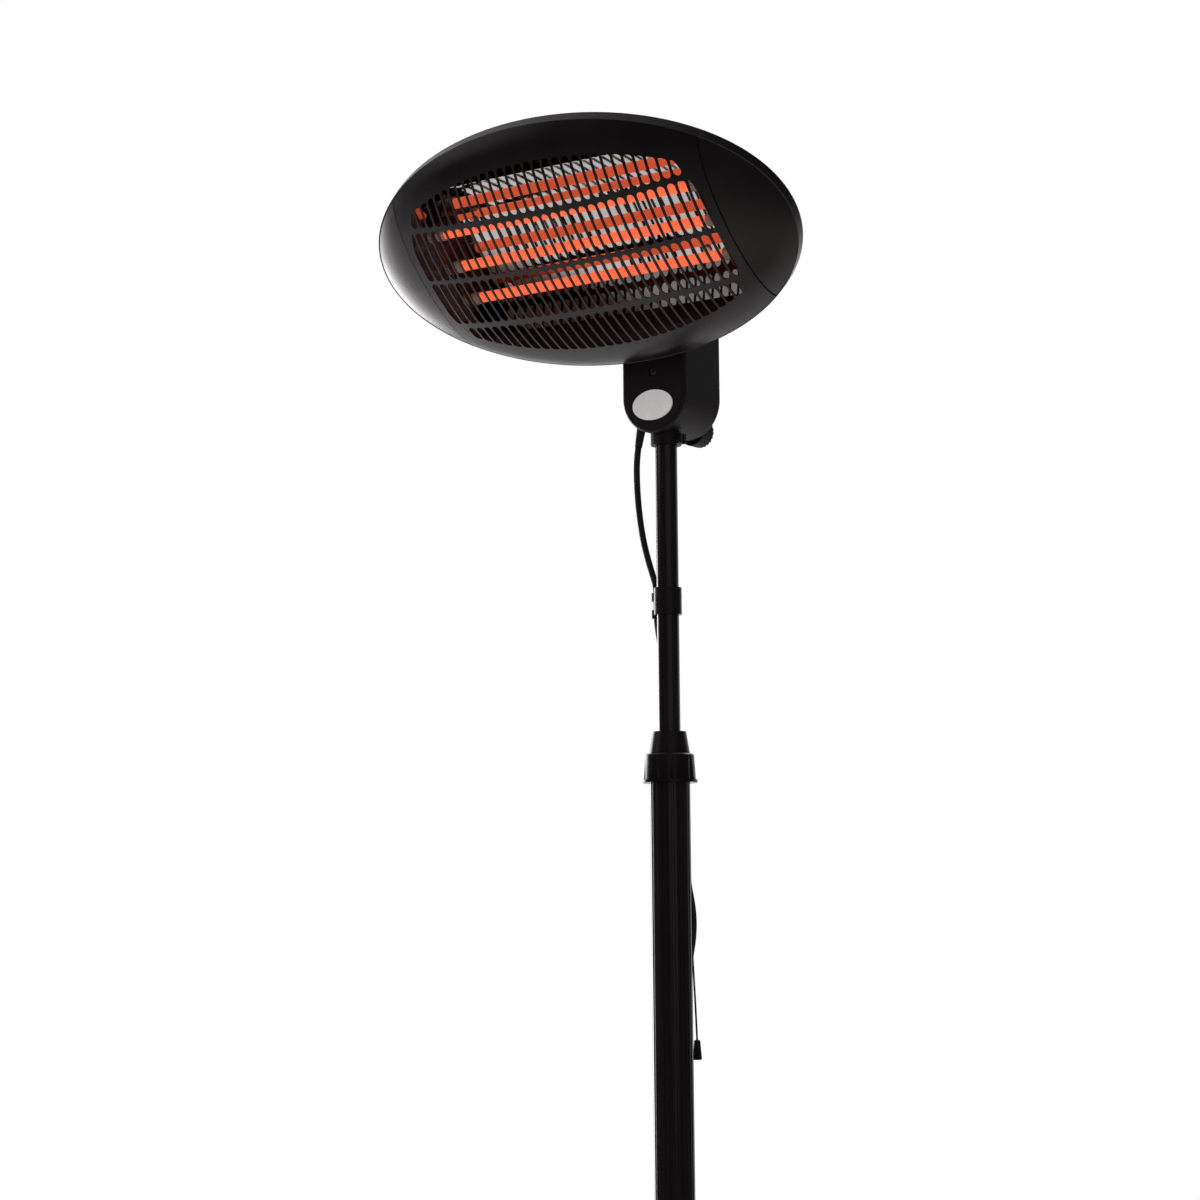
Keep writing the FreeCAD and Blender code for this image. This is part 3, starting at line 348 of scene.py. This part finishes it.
def noise(tree, scale, detail=2.0, stretch=(1, 1, 1)):
    """A noise texture in the heater's own coordinates."""
    mapping = add(tree, "Mapping")
    mapping.inputs["Scale"].default_value = stretch
    texture = add(tree, "TexNoise")
    texture.inputs["Scale"].default_value = scale
    texture.inputs["Detail"].default_value = detail
    tree.links.new(add(tree, "TexCoord").outputs["Object"], mapping.inputs["Vector"])
    tree.links.new(mapping.outputs["Vector"], texture.inputs["Vector"])
    return texture.outputs["Fac"]


def base_colour(shader):
    """The output that a shader's base colour comes from."""
    return shader.inputs["Base Color"].links[0].from_socket


# Materials

def surface(name, colour, roughness, metallic=0.0, specular=0.5, gloss=plain_gloss,
            patches=None, shades=None, rough_run=None, grain=None, relief=None):
    """A principled material and its shader node.

    Broad patches, or the fine grain where there are none, vary its colour between two shades and
    its roughness over a run. The grain gives it relief.
    """
    mat = bpy.data.materials.new(name)
    mat.use_nodes = True
    tree = mat.node_tree
    shader = tree.nodes["Principled BSDF"]
    shader.inputs["Base Color"].default_value = (*colour, 1.0)
    shader.inputs["Roughness"].default_value = roughness
    shader.inputs["Metallic"].default_value = metallic
    shader.inputs["Specular IOR Level"].default_value = specular
    shader.inputs["Specular Tint"].default_value = (*gloss, 1.0)
    fine = noise(tree, **grain) if grain else None
    broad = noise(tree, **patches) if patches else fine
    if rough_run:
        uneven = map_range(tree, broad, noise_value_run, rough_run)
        tree.links.new(uneven, shader.inputs["Roughness"])
    if shades:
        mottled = colours(tree, broad, *shades, noise_colour_run)
        tree.links.new(mottled, shader.inputs["Base Color"])
    if relief:
        bumps = add(tree, "Bump")
        bumps.inputs["Strength"].default_value = relief["strength"]
        bumps.inputs["Distance"].default_value = relief["height"]
        tree.links.new(fine, bumps.inputs["Height"])
        tree.links.new(bumps.outputs["Normal"], shader.inputs["Normal"])
    return mat, shader


def stove_paint(name):
    """Black stove paint, satin with a fine orange-peel surface, and its shader node."""
    return surface(name, (0.0034, 0.0027, 0.0025), roughness=0.31, specular=0.35, gloss=warm_gloss,
                   patches=dict(scale=18.0), rough_run=(0.27, 0.36),
                   shades=((0.003, 0.0024, 0.0022), (0.004, 0.0032, 0.003)),
                   grain=dict(scale=1600.0, detail=3.0), relief=dict(strength=0.12, height=0.0002))


def shell_paint_and_glow(name):
    """The same paint outside; the inside, which faces the tubes, is coloured reddish brown,
    brighter towards the ends: painted glow of their light.
    """
    mat, shader = stove_paint(name)
    tree = mat.node_tree
    outside = base_colour(shader)
    # Painted glow: a reddish-brown mottle on the inside stands in for the tubes' light, full
    # towards the ends
    glow_mottle = noise(tree, scale=90.0, detail=4.0)
    brown = colours(tree, glow_mottle, shell_glow_dark, shell_glow_light, noise_colour_run)
    place = add(tree, "TexCoord")
    offset = vector_math(tree, "SUBTRACT", place.outputs["Object"], shell_middle)
    from_middle = offset.outputs["Vector"]
    outwards = vector_math(tree, "DOT_PRODUCT", from_middle, place.outputs["Normal"])
    inside = add(tree, "Math", operation="LESS_THAN")
    feed(tree, outwards.outputs["Value"], inside.inputs[0])
    feed(tree, 0.0, inside.inputs[1])
    axes = add(tree, "SeparateXYZ")
    tree.links.new(from_middle, axes.inputs["Vector"])
    across = add(tree, "Math", operation="ABSOLUTE")
    tree.links.new(axes.outputs["X"], across.inputs[0])
    near_ends = map_range(tree, across.outputs["Value"], shell_glow_run)
    lining = mix(tree, "RGBA", near_ends, shell_lining, brown)
    both = mix(tree, "RGBA", inside.outputs["Value"], outside, lining)
    tree.links.new(both, shader.inputs["Base Color"])
    return mat


def moulded(name, roughness, rough_run, grain_scale, strength):
    """Black moulded plastic with a fine eroded grain."""
    return surface(name, (0.005, 0.0042, 0.0044), roughness, specular=0.18, gloss=warm_gloss,
                   patches=dict(scale=25.0), rough_run=rough_run,
                   shades=((0.0045, 0.0038, 0.004), (0.006, 0.005, 0.0054)),
                   grain=dict(scale=grain_scale, detail=4.0),
                   relief=dict(strength=strength, height=0.0002))[0]


def drawn_metal(name):
    """Black coated tube with faint lines along its length."""
    return surface(name, (0.0048, 0.0038, 0.0037), roughness=0.16, specular=0.45, gloss=warm_gloss,
                   patches=dict(scale=30.0, stretch=(1, 1, 0.2)), rough_run=(0.13, 0.2),
                   shades=((0.0042, 0.0035, 0.0036), (0.0058, 0.0049, 0.0049)),
                   grain=dict(scale=900.0, detail=3.0, stretch=(1, 1, 0.004)),
                   relief=dict(strength=0.06, height=0.0001))[0]


def rubbery(name, roughness, rough_run):
    """Matt black rubber, a little worn and dusty."""
    return surface(name, (0.008, 0.007, 0.007), roughness, specular=0.3,
                   patches=dict(scale=60.0, detail=3.0), rough_run=rough_run,
                   shades=((0.007, 0.006, 0.006), (0.011, 0.0095, 0.0095)),
                   grain=dict(scale=2500.0, detail=3.0),
                   relief=dict(strength=0.15, height=0.0002))[0]


def bright_metal(name, colour, roughness, rough_run):
    """Bare or plated metal with fine scratches."""
    return surface(name, colour, roughness, metallic=1.0,
                   patches=dict(scale=40.0), rough_run=rough_run,
                   grain=dict(scale=700.0, detail=4.0, stretch=(0.05, 1, 1)),
                   relief=dict(strength=0.04, height=0.0001))[0]


def polished(name):
    """Bright rolled sheet, mirror-like, with a painted dark reddish-brown reflection at its lower
    left.
    """
    mat, shader = surface(name, (0.58, 0.54, 0.52), roughness=0.04, metallic=1.0,
                          patches=dict(scale=35.0, detail=3.0), rough_run=(0.02, 0.06),
                          shades=((0.52, 0.48, 0.46), (0.62, 0.58, 0.57)))
    tree = mat.node_tree
    # Painted dark reflection: the mirror's colour turns dark reddish brown towards its lower left
    unshaded_share = map_range(tree, along(tree, dark_reflection_way), dark_reflection_run, interpolation="SMOOTHSTEP")
    with_dark_reflection = mix(tree, "RGBA", unshaded_share, dark_reflection_colour, base_colour(shader))
    tree.links.new(with_dark_reflection, shader.inputs["Base Color"])
    return mat


def heat_stained(name):
    """Sheet steel browned by the heat beside the tubes."""
    return surface(name, (0.12, 0.07, 0.05), roughness=0.42, metallic=0.8,
                   patches=dict(scale=70.0, detail=4.0), rough_run=(0.35, 0.55),
                   shades=((0.07, 0.036, 0.025), (0.17, 0.1, 0.07)))[0]


def cast_iron(name):
    """Rough grey casting."""
    return surface(name, (0.03, 0.03, 0.03), roughness=0.7, metallic=0.6,
                   shades=((0.022, 0.021, 0.021), (0.04, 0.039, 0.038)),
                   grain=dict(scale=900.0, detail=5.0), relief=dict(strength=0.5, height=0.0005))[0]


def braided(name):
    """Woven black pull cord."""
    return surface(name, (0.012, 0.011, 0.011), roughness=0.75, specular=0.25,
                   shades=((0.008, 0.007, 0.007), (0.02, 0.018, 0.018)),
                   grain=dict(scale=3500.0, stretch=(1, 1, 0.5)),
                   relief=dict(strength=0.6, height=0.0003))[0]


def label(name):
    """Bare domed label, pale with a faint mottling."""
    return surface(name, (0.74, 0.7, 0.7), roughness=0.25, specular=0.3,
                   patches=dict(scale=60.0), rough_run=(0.22, 0.3),
                   shades=((0.72, 0.68, 0.68), (0.76, 0.72, 0.72)))[0]


def ceramic(name):
    """Unglazed ceramic, browned by the heat."""
    return surface(name, (0.36, 0.22, 0.18), roughness=0.75,
                   shades=((0.29, 0.17, 0.135), (0.43, 0.27, 0.22)),
                   grain=dict(scale=400.0, detail=4.0), relief=dict(strength=0.2, height=0.0002))[0]


def glowing_quartz(name):
    """Frosted quartz lit from inside by its winding."""
    mat, shader = surface(name, (0.25, 0.05, 0.02), roughness=0.35)
    tree = mat.node_tree
    winding = add(tree, "TexWave", wave_type="BANDS", bands_direction="X")
    winding.inputs["Scale"].default_value = 120.0
    winding.inputs["Distortion"].default_value = 1.5
    tree.links.new(add(tree, "TexCoord").outputs["Object"], winding.inputs["Vector"])
    heat = colours(tree, winding.outputs["Fac"], (0.86, 0.105, 0.036), (1.0, 0.17, 0.07))
    tree.links.new(heat, shader.inputs["Emission Color"])
    shader.inputs["Emission Strength"].default_value = 1.0
    return mat


paint = stove_paint("black_paint")[0]
shell_paint = shell_paint_and_glow("black_paint_shell")
plastic = moulded("black_plastic", roughness=0.48, rough_run=(0.43, 0.54),
                  grain_scale=2200.0, strength=0.2)
gloss_plastic = moulded("gloss_black", roughness=0.22, rough_run=(0.17, 0.28),
                        grain_scale=1500.0, strength=0.04)
tube_metal = drawn_metal("black_aluminium")
rubber = rubbery("black_rubber", roughness=0.62, rough_run=(0.54, 0.7))
lead_rubber = rubbery("lead_rubber", roughness=0.45, rough_run=(0.37, 0.53))
zinc = bright_metal("zinc_steel", (0.5, 0.5, 0.5), roughness=0.35, rough_run=(0.28, 0.455))
black_screw = bright_metal("black_screw", (0.16, 0.15, 0.15), roughness=0.3, rough_run=(0.24, 0.39))
brass = bright_metal("brass", (0.6, 0.42, 0.18), roughness=0.3, rough_run=(0.24, 0.39))
mirror = polished("reflector_mirror")
browned = heat_stained("zinc_steel_browned")
iron = cast_iron("cast_weight")
pull_weave = braided("pull_cord_black")
badge_label = label("badge_white")
brown_ceramic = ceramic("ceramic")
quartz = glowing_quartz("quartz")

finishes = {
    paint: ["base_cover", "base_socket", "front_panel", "end_cap_left", "end_cap_right", "neck"],
    shell_paint: ["rear_shell"],
    iron: ["base_weight"],
    rubber: ["feet", "cable_gland", "cord_grommet"],
    zinc: ["socket_bolts", "tube_coupler", "clamp_stud", "tilt_pin", "tilt_washers", "plug_pins",
           "reflector_screws"],
    tube_metal: ["lower_tube", "middle_tube", "upper_tube"],
    plastic: ["guide_bush", "housing_front", "housing_rear", "socket_collar",
              "clamp_knob", "pull_switch", "tip_switch"],
    gloss_plastic: ["lock_collet", "lock_nut", "cable_clip", "pull_bell", "coil_tie"],
    black_screw: ["housing_screws", "neck_screws"],
    brass: ["clamp_insert"],
    badge_label: ["badge"],
    pull_weave: ["pull_cord"],
    lead_rubber: ["lead_upper", "lead_lower", "lead_coil", "lead_tail", "plug_body"],
    mirror: ["reflector"],
    browned: ["tube_holder_left", "tube_holder_right"],
    quartz: ["quartz_tubes", "heating_coils"],
    brown_ceramic: ["ceramic_ends", "terminal_block"],
}
for finish, names in finishes.items():
    for name in names:
        nodes[name].data.materials.clear()
        nodes[name].data.materials.append(finish)


# Front panel with the fine bars of the photographed grille

def dome_depth(x, v, shrink):
    """Height of the panel's domed face, drawn in by an even amount."""
    across, upwards = x / (dome_half_width - shrink), v / (dome_half_height - shrink)
    share = math.sqrt(max(1 - across * across - upwards * upwards, 0.0))
    return dome_floor + (dome_rise - shrink) * share


def panel_edge(x, shrink):
    """How far up the panel reaches at a place across it."""
    level = (panel_edge_depth - dome_floor) / (dome_rise - shrink)
    across = x / (dome_half_width - shrink)
    return (dome_half_height - shrink) * math.sqrt(1 - level * level - across * across)


def window_reach(x, height):
    """How far up or down the grille's field reaches at a place across it, below zero outside."""
    inner = abs(x) - window_end_reach + window_end_radius
    if inner >= window_end_radius:
        return -1.0
    ends = window_end_radius if inner <= 0 else math.sqrt(window_end_radius ** 2 - inner ** 2)
    field = height * math.sqrt(1 - (x / window_half_width) ** 2)
    return min(ends, field)


def slot_outline(middle, low, high, round_low, round_high):
    """Outline of one slot, with round ends at the bands and the field's edge elsewhere."""
    half = slot_width / 2
    lower, upper = [], []
    for i in range(slot_end_points + 1):
        offset = -half * math.cos(math.pi * i / slot_end_points)
        x = middle + offset
        round_end = half - math.sqrt(max(half * half - offset * offset, 0.0))
        corner = round_end * window_corner_share
        bottom = max(low + round_end * round_low, corner - window_reach(x, window_bottom))
        top = min(high - round_end * round_high, window_reach(x, window_top) - corner)
        if top - bottom > slot_least_height:
            lower.append((x, bottom))
            upper.append((x, top))
    if len(lower) < slot_least_points:
        return []
    right_side = [(lower[-1][0], v) for v in steps(lower[-1][1], upper[-1][1], panel_step)[1:-1]]
    left_side = [(lower[0][0], v) for v in steps(upper[0][1], lower[0][1], panel_step)[1:-1]]
    return lower + right_side + upper[::-1] + left_side


def grille_outlines():
    """All slots, row by row from the top."""
    bands = zip(band_places, band_widths)
    edges = [(place + width / 2, place - width / 2) for place, width in bands]
    rows = [(edges[0][0], window_top, 1, 0)]
    for upper, lower in zip(edges, edges[1:]):
        rows.append((lower[0], upper[1], 1, 1))
    rows.append((-window_bottom, edges[-1][1], 0, 1))
    outlines = []
    for low, high, round_low, round_high in rows:
        for column in range(slot_columns):
            middle = (column - (slot_columns - 1) / 2) * slot_pitch
            outline = slot_outline(middle, low, high, round_low, round_high)
            if outline:
                outlines.append(outline)
    return outlines


def rim_outline():
    """Outline of the whole panel: two curved edges and two straight ends."""
    arc = steps(-panel_half_width, panel_half_width, panel_step)
    side = panel_edge(panel_half_width, 0.0)
    rim = [(x, -panel_edge(x, 0.0)) for x in arc]
    rim += [(panel_half_width, v) for v in steps(-side, side, panel_step)[1:-1]]
    rim += [(x, panel_edge(x, 0.0)) for x in arc[::-1]]
    rim += [(-panel_half_width, v) for v in steps(side, -side, panel_step)[1:-1]]
    return rim


def fill_places():
    """Places between the rim and the grille's field, which keep the dome's triangles small."""
    places = []
    reach = panel_half_width - panel_fill_step
    for x in steps(-reach, reach, panel_fill_step):
        top = panel_edge(x, 0.0) - panel_fill_step
        for v in steps(-top, top, panel_fill_step):
            field = window_reach(x, window_top if v > 0 else window_bottom)
            if abs(v) > field + panel_wall:
                places.append((x, v))
    return places


def flat_panel():
    """The panel's places and triangles, laid flat, with the slots left open."""
    places, loops = [], []
    for outline in [rim_outline()] + grille_outlines():
        loops.append(list(range(len(places), len(places) + len(outline))))
        places += outline
    places += fill_places()
    places = [Vector(place) for place in places]
    result = delaunay_2d_cdt(places, [], loops, triangles_inside, join_gap)
    spots, triangles, owners = result[0], result[2], result[5]
    # A triangle that only the rim goes round is sheet, and one that a slot goes round too is open
    sheet = []
    for triangle, outlines_round in zip(triangles, owners):
        if list(outlines_round) == [0]:
            sheet.append(tuple(triangle))
    return spots, sheet


def panel_mesh(name):
    """Domed sheet with the grille's slots, of the same dome, edge and thickness as the solid."""
    spots, sheet = flat_panel()
    turn = Matrix.Translation(head_place) @ Matrix.Rotation(math.radians(head_turn_deg), 4, "X")
    outer, inner = [], []
    for x, v in spots:
        outer.append(turn @ (Vector((x, v, dome_depth(x, v, 0.0))) * millimetre))
        limit = panel_edge(x, panel_wall)
        drawn = min(max(v, -limit), limit)
        inner.append(turn @ (Vector((x, drawn, dome_depth(x, drawn, panel_wall))) * millimetre))
    count = len(outer)
    skin = sheet + [tuple(i + count for i in reversed(triangle)) for triangle in sheet]
    sides = {(a, b) for triangle in sheet for a, b in zip(triangle, triangle[1:] + triangle[:1])}
    skin += [(b, a, a + count, b + count) for a, b in sides if (b, a) not in sides]
    data = bpy.data.meshes.new(name)
    data.from_pydata(outer + inner, [], skin)
    bm = bmesh.new()
    bm.from_mesh(data)
    bmesh.ops.delete(bm, geom=[vert for vert in bm.verts if not vert.link_faces], context="VERTS")
    bmesh.ops.recalc_face_normals(bm, faces=bm.faces)
    bm.to_mesh(data)
    bm.free()
    data.shade_smooth()
    data.set_sharp_from_angle(angle=math.radians(panel_sharp_deg))
    return link(bpy.data.objects.new(name, data))


panel = panel_mesh("slotted_front")
panel.data.materials.append(paint)
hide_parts("front_panel")
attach(panel, "head")


# Cords

def coil_points():
    """The put-away winding: in through the lower layer, up, and out through the upper one."""
    middle = coil_turns_per_layer
    total = 2 * coil_turns_per_layer + coil_tail_turn_share
    count = round(total * coil_points_per_turn)
    points = []
    for i in range(count + 1):
        turn = total * i / count
        radius = coil_outer_radius - coil_step * (middle - abs(turn - middle))
        climb = min(max((turn - middle) / coil_climb_turns + 0.5, 0), 1)
        lift = coil_step * smooth_step(climb)
        angle = 2 * math.pi * turn
        offset = Vector((radius * math.cos(angle), radius * math.sin(angle), lift))
        points.append(coil_centre + offset)
    return points


upper_line = line_points(nurbs_line("lead_upper_route", lead_upper_route))
lead_top = tube_mesh("mains_lead_top", upper_line, lead_diameter / 2)
lead_top.data.materials.append(lead_rubber)
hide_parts("lead_upper")
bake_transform(lead_top)

long_route = [Vector(place) for place in lead_lower_route] + coil_points()
long_route += [Vector(place) for place in lead_tail_route]
lower_line = line_points(nurbs_line("lead_lower_route", long_route))
lead_long = tube_mesh("mains_lead", lower_line, lead_diameter / 2)
lead_long.data.materials.append(lead_rubber)
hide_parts("lead_lower", "lead_coil", "lead_tail")
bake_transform(lead_long)

pull_line = line_points(nurbs_line("pull_route", pull_route))
pull = tube_mesh("pull_line", pull_line, pull_diameter / 2)
pull.data.materials.append(pull_weave)
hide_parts("pull_cord")
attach(pull, "pull")


# Camera, light and floor

def make_camera():
    """The camera at the photograph's place, turned as it was."""
    turn_c, turn_s = math.cos(view_turn), math.sin(view_turn)
    rise_c, rise_s = math.cos(view_rise), math.sin(view_rise)
    roll_c, roll_s = math.cos(view_roll), math.sin(view_roll)
    ahead = Vector((-turn_s * rise_c, turn_c * rise_c, rise_s))
    level = Vector((turn_c, turn_s, 0.0))
    upright = level.cross(ahead)
    right = level * roll_c + upright * roll_s
    up = upright * roll_c - level * roll_s
    across = (target_pixel[0] - image_side / 2) / focal_pixels
    above = (image_side / 2 - target_pixel[1]) / focal_pixels
    place = target - (ahead + right * across + up * above) * target_depth
    data = bpy.data.cameras.new("camera")
    data.sensor_width = sensor_width
    data.lens = focal_pixels / image_side * sensor_width
    camera = link(bpy.data.objects.new("camera", data))
    turned = Matrix((right, up, -ahead)).transposed().to_4x4()
    camera.matrix_world = Matrix.Translation(place) @ turned
    bpy.context.scene.camera = camera


def make_world():
    """A white studio backdrop, with a dimmer room on the camera's side that only gloss shows."""
    world = bpy.data.worlds.new("studio")
    world.use_nodes = True
    tree = world.node_tree
    back = tree.nodes["Background"]
    back.inputs["Color"].default_value = white
    path = add(tree, "LightPath")
    towards = along(tree, backdrop_way, "Generated")
    room = map_range(tree, towards, backdrop_edge, (room_level, 1.0), "SMOOTHSTEP")
    gloss = add(tree, "Math", operation="MAXIMUM")
    tree.links.new(path.outputs["Is Glossy Ray"], gloss.inputs[0])
    tree.links.new(path.outputs["Is Transmission Ray"], gloss.inputs[1])
    lit = mix(tree, "FLOAT", gloss.outputs["Value"], world_level, room)
    seen = mix(tree, "FLOAT", path.outputs["Is Camera Ray"], lit, 1.0)
    tree.links.new(seen, back.inputs["Strength"])
    bpy.context.scene.world = world


def make_floor():
    """A pale floor, with painted shade on the camera's side that only gloss shows."""
    bm = bmesh.new()
    bmesh.ops.create_circle(bm, cap_ends=True, radius=floor_radius, segments=floor_sides)
    mesh = bpy.data.meshes.new("floor")
    bm.to_mesh(mesh)
    bm.free()
    floor = link(bpy.data.objects.new("floor", mesh))
    mat, shader = surface("floor_pale", floor_colour, roughness=0.7,
                          patches=dict(scale=3.0), rough_run=(0.65, 0.8))
    tree = mat.node_tree
    # Painted shade: glossy rays see the floor darker on the camera's side
    towards = along(tree, backdrop_way)
    level = map_range(tree, towards, front_floor_run, (front_floor_share, 1.0), "SMOOTHSTEP")
    seen = mix(tree, "FLOAT", add(tree, "LightPath").outputs["Is Glossy Ray"], 1.0, level)
    pale = add(tree, "VectorMath", operation="SCALE")
    pale.inputs[0].default_value = floor_colour
    tree.links.new(seen, pale.inputs["Scale"])
    tree.links.new(pale.outputs["Vector"], shader.inputs["Base Color"])
    mesh.materials.append(mat)


def soft_lamp(name, place, aim, size, power, spread_deg=full_spread_deg):
    """A round area lamp, aimed at a place and not seen itself."""
    data = bpy.data.lights.new(name, "AREA")
    data.shape = "DISK"
    data.size = size
    data.energy = power
    data.spread = math.radians(spread_deg)
    lamp = link(bpy.data.objects.new(name, data))
    lamp.visible_camera = False
    lamp.location = place
    lamp.rotation_euler = (Vector(aim) - Vector(place)).to_track_quat("-Z", "Y").to_euler()


make_camera()
make_world()
make_floor()
soft_lamp("key", place=(-4.25, 1.26, 1.46), aim=head_middle, size=2.8, power=22.0, spread_deg=80.0)
soft_lamp("fill", place=(-2.2, -1.9, 3.3), aim=head_middle, size=2.4, power=13.0)
soft_lamp("top", place=(-0.6, 0.6, 4.4), aim=mast_middle, size=3.0, power=10.0)
soft_lamp("side", place=(2.6, -2.2, 2.2), aim=mast_upper, size=3.0, power=4.5)
soft_lamp("back", place=(-0.6, 2.6, 4.2), aim=mast_middle, size=2.4, power=40.0)

bpy.context.scene.view_settings.view_transform = "Standard"
